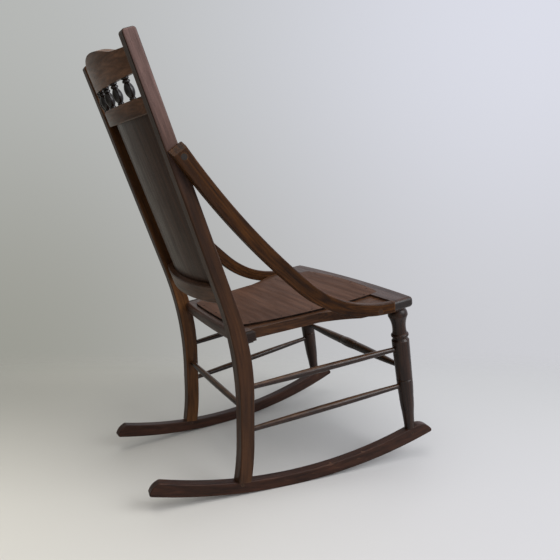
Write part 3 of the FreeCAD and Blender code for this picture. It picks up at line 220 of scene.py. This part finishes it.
post_wood = stained_wood(
    "post_wood", post_grain, dark=(0.018, 0.0070, 0.0030, 1), light=(0.066, 0.026, 0.0098, 1),
    worn=(0.15, 0.08, 0.045, 1), gloss=0.38, wear=0.4, figure=0.25, areas=(
        (painted_sheen_upper_outer_faces, (0.130, 0.074, 0.064, 1), (0.235, 0.142, 0.124, 1)),
        (painted_light_inner_faces, (0.036, 0.0135, 0.0042, 1), (0.130, 0.052, 0.0155, 1)),
        (top_ends, (0.008, 0.0045, 0.0035, 1), (0.022, 0.012, 0.009, 1))))
finish_nodes(post_wood, "rear_post_right", "rear_post_left")


# Front legs: turned from one stick each, with a vase and ring at the top and a scored line lower down,
# stained very dark. They stand in the rockers and carry the seat's front rail.

LEG_RAKE = 0.178


def leg_grain(x, y, z):
    return z, y - z * LEG_RAKE, x


leg_wood = stained_wood(
    "leg_wood", leg_grain, dark=(0.0075, 0.0030, 0.0016, 1), light=(0.039, 0.0150, 0.0070, 1),
    worn=(0.13, 0.058, 0.030, 1), gloss=0.26, wear=0.5, figure=0.4, shine=0.25, coat=0.06)
finish_nodes(leg_wood, "front_leg_right", "front_leg_left")


# Stretchers: turned sticks pushed into sockets in the legs and posts. The front one has a barrel
# between two grooves. Their upper sides are painted a paler brown, partly heel wear and partly a
# painted highlight from the light overhead.

def side_grain(x, y, z):
    return y, z, x


def cross_grain(x, y, z):
    return x, z, y


# Upper sides painted paler: heel wear and a painted highlight from the light overhead.
def heel_worn_and_highlit_tops(x, z, normal):
    return normal.axis(2).step(0.25, 0.9)


def stretcher_wood(name, grain):
    return stained_wood(
        name, grain, dark=(0.0065, 0.0028, 0.0016, 1), light=(0.034, 0.0140, 0.0070, 1),
        worn=(0.13, 0.060, 0.030, 1), gloss=0.22, shine=0.3, coat=0.08, areas=(
            (heel_worn_and_highlit_tops, (0.030, 0.0130, 0.0055, 1), (0.120, 0.058, 0.027, 1)),))


side_stretcher_wood = stretcher_wood("side_stretcher_wood", side_grain)
finish_nodes(side_stretcher_wood, "side_stretcher_upper_right", "side_stretcher_upper_left",
             "side_stretcher_lower_right", "side_stretcher_lower_left")
cross_stretcher_wood = stretcher_wood("cross_stretcher_wood", cross_grain)
finish_nodes(cross_stretcher_wood, "front_stretcher", "rear_stretcher")


# Seat frame: a bowed front rail and a slightly bowed rear rail with the grain across the chair, and
# side rails that flare out to the braces. The rails' end grain has taken the stain nearly black.
# Corner blocks are dull offcuts screwed to the posts.

def across_grain(x, y, z):
    return x, y, z


def fore_aft_grain(x, y, z):
    return y, x, z


def end_grain(x, z, normal):
    sideways_turn = normal.axis(0)
    return (sideways_turn * sideways_turn).step(0.45, 0.8)


rail_worn = (0.18, 0.095, 0.05, 1)
seat_rail_wood = stained_wood(
    "seat_rail_wood", across_grain, dark=(0.022, 0.0095, 0.006, 1), light=(0.070, 0.032, 0.020, 1),
    worn=rail_worn, gloss=0.36, figure=0.35, shine=0.3, areas=(
        (end_grain, (0.006, 0.004, 0.003, 1), (0.016, 0.010, 0.008, 1)),))
finish_nodes(seat_rail_wood, "seat_front_rail", "seat_rear_rail")
side_rail_wood = stained_wood(
    "side_rail_wood", fore_aft_grain, dark=(0.022, 0.0085, 0.0038, 1), light=(0.098, 0.039, 0.0145, 1),
    worn=rail_worn, gloss=0.40, figure=0.35)
finish_nodes(side_rail_wood, "seat_side_rail_right", "seat_side_rail_left")
block_wood = stained_wood(
    "block_wood", fore_aft_grain, dark=(0.010, 0.0055, 0.004, 1), light=(0.03, 0.015, 0.010, 1),
    worn=(0.10, 0.06, 0.04, 1), gloss=0.55)
finish_nodes(block_wood, "seat_corner_block_right", "seat_corner_block_left")


# Seat panel: a sheet of plywood, face grain across the chair, let into the front rail and tacked down
# all round. Sitting has worn the stain to a paler reddish brown. The edges are painted near black, a
# painted shadow standing in for the shade in the gap along the rails.

# Painted shadow: the panel's edges are painted near black for the shade in the gap along the rails.
def painted_shadow_panel_edges(x, z, normal):
    upright = normal.axis(2)
    return 1 - (upright * upright).step(0.3, 0.7)


seat_panel_wood = stained_wood(
    "seat_panel_wood", across_grain, dark=(0.054, 0.0232, 0.0126, 1), light=(0.098, 0.0452, 0.0262, 1),
    worn=(0.16, 0.082, 0.048, 1), gloss=0.50, figure=0.12, scuffs=0.35, shine=0.1, coat=0.0, areas=(
        (painted_shadow_panel_edges, (0.004, 0.002, 0.0015, 1), (0.012, 0.006, 0.004, 1)),))
finish_nodes(seat_panel_wood, "seat_panel")


# Side braces: bentwood strips screwed to the posts and to the seat. The varnish shows a warmer,
# orange brown here, with the grain following the bend.

BEND_CENTRE = (-0.1974, 0.668)
BEND_RADIUS = 0.255
SWEEP_CENTRE = (-1.1304, 1.771)
SWEEP_RADIUS = 1.7
BEND_END = (0.282, 0.290)
BEND_END_WAY = (0.764, 0.6455)
BRACE_WAY = (0.75, 0.66)


def brace_grain(x, y, z):
    def off_arc(centre, radius):
        rear = y - centre[0]
        rise = z - centre[1]
        return y.math("SQRT", rear * rear + rise * rise) - radius
    run = y * BRACE_WAY[0] + z * BRACE_WAY[1]
    above = (y * BEND_END_WAY[0] + z * BEND_END_WAY[1]).step(*BEND_END)
    across = off_arc(BEND_CENTRE, BEND_RADIUS) * (1 - above) + off_arc(SWEEP_CENTRE, SWEEP_RADIUS) * above
    return run, across, x


brace_wood = stained_wood(
    "brace_wood", brace_grain, dark=(0.0085, 0.0026, 0.0007, 1), light=(0.080, 0.0285, 0.0060, 1),
    worn=(0.19, 0.09, 0.038, 1), gloss=0.34, wear=0.4, figure=0.38, shine=0.1)
finish_nodes(brace_wood, "brace_right", "brace_left")


# Back: three bent rails tenoned into the posts, a bent plywood panel tacked to the front of the lower
# two, and five small turned spindles under the crest. Rails and panel keep a glossy varnish, and the
# upper part of the crest's rear is given paler colours.

BACK_LEAN = math.radians(20.1)
LEAN_SIN = math.sin(BACK_LEAN)
LEAN_COS = math.cos(BACK_LEAN)
BACK_FOOT = Vector((0, 0.1459, 0.4512))
RING_CENTRE = -0.547
CREST_FRONT = 0.559


def back_rail_grain(x, y, z):
    return x, y * LEAN_SIN + z * LEAN_COS, y * LEAN_COS - z * LEAN_SIN


def back_panel_grain(x, y, z):
    return y * LEAN_SIN + z * LEAN_COS, x, y * LEAN_COS - z * LEAN_SIN


# The upper part of the crest's rear, facing back, is given paler colours.
def paler_upper_crest_rear(x, z, normal):
    return z.step(0.79, 0.84) * normal.axis(1).step(0.1, 0.5)


back_rail_wood = stained_wood(
    "back_rail_wood", back_rail_grain, dark=(0.038, 0.0170, 0.0086, 1), light=(0.122, 0.056, 0.029, 1),
    worn=(0.16, 0.085, 0.05, 1), gloss=0.32, wear=0.4, figure=0.35, coat=0.04, areas=(
        (paler_upper_crest_rear, (0.082, 0.038, 0.0200, 1), (0.230, 0.110, 0.058, 1)),))
finish_nodes(back_rail_wood, "crest_rail", "mid_rail", "bottom_rail")
back_panel_wood = stained_wood(
    "back_panel_wood", back_panel_grain, dark=(0.028, 0.0122, 0.0062, 1), light=(0.080, 0.037, 0.0200, 1),
    worn=(0.13, 0.075, 0.05, 1), gloss=0.28, wear=0.4, figure=0.25, shine=0.16, coat=0.05)
finish_nodes(back_panel_wood, "back_panel")
spindle_wood = stained_wood(
    "spindle_wood", back_panel_grain, dark=(0.003, 0.0018, 0.0013, 1), light=(0.013, 0.0065, 0.0044, 1),
    worn=(0.06, 0.032, 0.02, 1), gloss=0.18, wear=0.4, shine=0.3, coat=0.08)
finish_nodes(spindle_wood, *[f"spindle_{number}" for number in range(1, 6)])


# Pressed ornament on the crest's front: a fan of seven petals between two scrolls with leaves, over a
# plain line, all half round and standing a millimetre or two off the curved face, as a hot die leaves
# it. Hands have rubbed these raised lines paler than the ground.

def on_crest(x, height):
    """A point on the crest's front face, height measured up the leaning back."""
    rear = RING_CENTRE + math.sqrt(CREST_FRONT ** 2 - x ** 2)
    return BACK_FOOT + Vector((x, rear * LEAN_COS + height * LEAN_SIN,
                               height * LEAN_COS - rear * LEAN_SIN))


def pressed_line(curve, points):
    """A raised line through points of (x, height, half thickness in millimetres)."""
    spline = curve.splines.new("NURBS")
    spline.points.add(len(points) - 1)
    for place, (x, height, thick) in zip(spline.points, points):
        place.co = (*on_crest(x, height), 1)
        place.radius = thick
    spline.order_u = 3
    spline.use_endpoint_u = True


PETALS = 7
PETAL_TURN = 24
PETAL_LONG = 0.036
PETAL_SHORTER = 0.0022
PETAL = [(0.30, 0.5), (0.50, 1.3), (0.75, 2.0), (0.92, 1.9), (1.0, 0.7)]
FAN_FOOT = 0.461
SCROLL_X = 0.078
SCROLL_HEIGHT = 0.4745
SCROLL_SIZE = 0.0155
SCROLL_WIDE = 1.25
SCROLL_START = 200
SCROLL_TURN = 42
SCROLL_STEPS = 15
SCROLL_THICK = 1.5
SCROLL_THINNER = 0.03
STEM = [(0.040, 0.4585, 0.5), (0.050, 0.4575, 1.2)]
LEAF = [(0.100, 0.462, 0.6), (0.116, 0.4635, 1.5), (0.134, 0.4705, 1.6), (0.150, 0.4735, 0.5)]
CURL = [(0.104, 0.472, 0.5), (0.115, 0.4775, 1.3), (0.127, 0.4795, 1.2), (0.135, 0.4775, 0.5)]
LINE_HALF = 0.152
LINE_STEPS = 16
LINE_HEIGHT = 0.4525
LINE_THICK = 0.9
ornament_curve = bpy.data.curves.new("pressed_ornament", "CURVE")
ornament_curve.dimensions = "3D"
ornament_curve.bevel_depth = 0.001
ornament_curve.bevel_resolution = 3
ornament_curve.resolution_u = 8
ornament_curve.use_fill_caps = True
for number in range(PETALS):
    from_middle = number - (PETALS - 1) / 2
    way = math.radians(90 + from_middle * PETAL_TURN)
    reach = PETAL_LONG - PETAL_SHORTER * abs(from_middle)
    pressed_line(ornament_curve, [
        (reach * part * math.cos(way), FAN_FOOT + reach * part * math.sin(way), thick)
        for part, thick in PETAL])
scroll = []
for step in range(SCROLL_STEPS):
    turn = math.radians(SCROLL_START - step * SCROLL_TURN)
    size = SCROLL_SIZE * (1 - step / (SCROLL_STEPS + 2))
    scroll.append((SCROLL_X + size * math.cos(turn) * SCROLL_WIDE, SCROLL_HEIGHT + size * math.sin(turn),
                   SCROLL_THICK - step * SCROLL_THINNER))
for side in (-1, 1):
    for line in (STEM + scroll, LEAF, CURL):
        pressed_line(ornament_curve, [(side * x, height, thick) for x, height, thick in line])
pressed_line(ornament_curve, [
    (LINE_HALF * (2 * step / LINE_STEPS - 1), LINE_HEIGHT, LINE_THICK) for step in range(LINE_STEPS + 1)])
ornament_form = bpy.data.objects.new("pressed_ornament_form", ornament_curve)
bpy.context.scene.collection.objects.link(ornament_form)
bpy.context.view_layer.update()
ornament_mesh = bpy.data.meshes.new_from_object(ornament_form.evaluated_get(
    bpy.context.evaluated_depsgraph_get()))
bpy.data.objects.remove(ornament_form)
ornament = bpy.data.objects.new("pressed_ornament", ornament_mesh)
bpy.context.scene.collection.objects.link(ornament)
for face in ornament_mesh.polygons:
    face.use_smooth = True
ornament_mesh.materials.clear()
pressed_wood = stained_wood(
    "pressed_wood", back_rail_grain, dark=(0.085, 0.039, 0.0205, 1), light=(0.230, 0.112, 0.060, 1),
    worn=(0.24, 0.13, 0.075, 1), gloss=0.36, wear=0.3, coat=0.04)
ornament_mesh.materials.append(pressed_wood)
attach(ornament, "root")


# Tacks and screws: small dark steel heads, dulled by stain and a little rust. They hold the panels, the
# corner blocks and the braces. The braces' lower screws have taken the braces' stain.

def dull_steel(name, bare, rust):
    """Steel of the colour bare, with spots of the colour rust that are rougher and less metallic."""
    material = bpy.data.materials.new(name)
    material.use_nodes = True
    tree = material.node_tree
    shader = tree.nodes["Principled BSDF"]
    spot = Wire(tree.nodes.new("ShaderNodeTexCoord").outputs["Object"])
    spread = spot.make("TexNoise", {}, {"Vector": spot, "Scale": 700.0, "Detail": 3.0}).step(0.4, 0.65)
    tree.links.new(spread.blend(bare, rust).socket, shader.inputs["Base Color"])
    tree.links.new((0.85 - spread * 0.6).socket, shader.inputs["Metallic"])
    tree.links.new((spread * 0.25 + 0.45).socket, shader.inputs["Roughness"])
    return material


tack_steel = dull_steel("tack_steel", (0.014, 0.012, 0.0105, 1), (0.009, 0.005, 0.0035, 1))
finish_nodes(tack_steel, "seat_tacks", "back_panel_tacks")
screw_steel = dull_steel("screw_steel", (0.028, 0.022, 0.018, 1), (0.012, 0.007, 0.005, 1))
finish_nodes(screw_steel, "corner_block_screws", "brace_upper_screws")
stained_steel = dull_steel("stained_steel", (0.050, 0.020, 0.008, 1), (0.030, 0.0115, 0.0045, 1))
finish_nodes(stained_steel, "brace_lower_screws")


# Studio: a pale floor that fades softly into a pale backdrop, a broad lamp ahead of the chair on the
# sitter's right, a second one overhead, and a soft sky that is brighter ahead of the chair.

AZIMUTH = math.radians(241.95)
ELEVATION = math.radians(10.82)
away = Vector((-math.sin(AZIMUTH), math.cos(AZIMUTH), 0))
sideways = Vector((math.cos(AZIMUTH), math.sin(AZIMUTH), 0))

FLOOR_HALF = 2.0
FLOOR_FADE = (0.85, 1.75)
HORIZON_FADE = (0.47, 0.85)
floor_mesh = bpy.data.meshes.new("floor")
floor_mesh.from_pydata([(-FLOOR_HALF, -FLOOR_HALF, 0), (FLOOR_HALF, -FLOOR_HALF, 0),
                        (FLOOR_HALF, FLOOR_HALF, 0), (-FLOOR_HALF, FLOOR_HALF, 0)], [], [(0, 1, 2, 3)])
floor = bpy.data.objects.new("floor", floor_mesh)
bpy.context.scene.collection.objects.link(floor)
floor_paint = bpy.data.materials.new("floor_paint")
floor_paint.use_nodes = True
floor_tree = floor_paint.node_tree
paint = floor_tree.nodes["Principled BSDF"]
floor_spot = Wire(floor_tree.nodes.new("ShaderNodeTexCoord").outputs["Object"])
outward = floor_spot.along(tuple(away))
rightward = floor_spot.along(tuple(sideways)).step(-0.8, 0.7)
from_chair = floor_spot.make("VectorMath", {"operation": "LENGTH"}, {0: floor_spot}, "Value")
shown = (1 - outward.step(*HORIZON_FADE)) * (1 - from_chair.step(*FLOOR_FADE))
floor_tree.links.new(shown.socket, paint.inputs["Alpha"])
# Painted shade: the paint is darkest far off on the left and dimmer near on the right, standing in for
# how the light falls across the floor.
near_paint = rightward.blend((0.68, 0.65, 0.58, 1), (0.525, 0.518, 0.535, 1))
far_paint = rightward.blend((0.38, 0.37, 0.325, 1), (0.50, 0.50, 0.51, 1))
floor_colour_with_painted_shade = outward.step(-0.4, 0.45).blend(near_paint, far_paint)
floor_tree.links.new(floor_colour_with_painted_shade.socket, paint.inputs["Base Color"])
paint.inputs["Roughness"].default_value = 0.6
floor_mesh.materials.append(floor_paint)

world = bpy.data.worlds.new("studio")
bpy.context.scene.world = world
world.use_nodes = True
sky = world.node_tree
for node in list(sky.nodes):
    sky.nodes.remove(node)
sky_out = sky.nodes.new("ShaderNodeOutputWorld")
look = Wire(sky.nodes.new("ShaderNodeTexCoord").outputs["Generated"])
aside = look.along(tuple(sideways))
rise = look.axis(2)

# What the camera and polished surfaces see: a backdrop that is paler to the right and higher up
rightness = aside.step(-0.5, 0.45)
low_wall = rightness.blend((0.325, 0.325, 0.288, 1), (0.61, 0.615, 0.65, 1))
high_wall = rightness.blend((0.46, 0.47, 0.455, 1), (0.72, 0.735, 0.82, 1))
wall = rise.step(-0.32, 0.28).blend(low_wall, high_wall)
wall = aside.step(-0.95, -0.5).blend((0.22, 0.215, 0.20, 1), wall)
seen_light = look.make("Background", {}, {"Color": wall, "Strength": 1.0})

# What lights the chair
glow = aside.step(-0.8, 0.8).blend((0.22, 0.22, 0.21, 1), (0.84, 0.86, 0.89, 1))
glow = rise.step(-0.15, 0.15).blend((0.03, 0.03, 0.03, 1), glow)
sky_light = look.make("Background", {}, {"Color": glow, "Strength": 1.0})
path = sky.nodes.new("ShaderNodeLightPath")
seen = (Wire(path.outputs["Is Camera Ray"]) + Wire(path.outputs["Is Glossy Ray"])
        + Wire(path.outputs["Is Transmission Ray"]))
sky_mix = look.make("MixShader", {}, {0: seen, 1: sky_light, 2: seen_light})
sky.links.new(sky_mix.socket, sky_out.inputs["Surface"])


def soft_lamp(name, place, aim, size, power, colour):
    lamp = bpy.data.lights.new(name, "AREA")
    lamp.shape = "DISK"
    lamp.size = size
    lamp.energy = power
    lamp.color = colour
    holder = bpy.data.objects.new(name, lamp)
    holder.location = place
    holder.rotation_euler = (Vector(place) - Vector(aim)).to_track_quat("Z", "Y").to_euler()
    bpy.context.scene.collection.objects.link(holder)


soft_lamp("front_lamp", place=(-2.19, -1.55, 2.15), aim=(0, 0, 0.45), size=2.2, power=64,
          colour=(0.96, 0.98, 1.0))
soft_lamp("top_lamp", place=(-0.4, 0.3, 2.8), aim=(0, 0, 0.4), size=2.4, power=38,
          colour=(1.0, 0.985, 0.96))

# The camera stands behind the chair on the sitter's right
back = Vector((math.sin(AZIMUTH) * math.cos(ELEVATION), -math.cos(AZIMUTH) * math.cos(ELEVATION),
               math.sin(ELEVATION)))
up = back.cross(sideways)
CAMERA_PLACE = (-1.2014, 0.5587, 0.6949)
camera_lens = bpy.data.cameras.new("camera")
camera_lens.sensor_width = 36
camera_lens.lens = 35.68
camera = bpy.data.objects.new("camera", camera_lens)
stand = Matrix((sideways, up, back)).transposed().to_4x4()
stand.translation = CAMERA_PLACE
camera.matrix_world = stand
bpy.context.scene.collection.objects.link(camera)
bpy.context.scene.camera = camera
bpy.context.scene.view_settings.view_transform = "Standard"
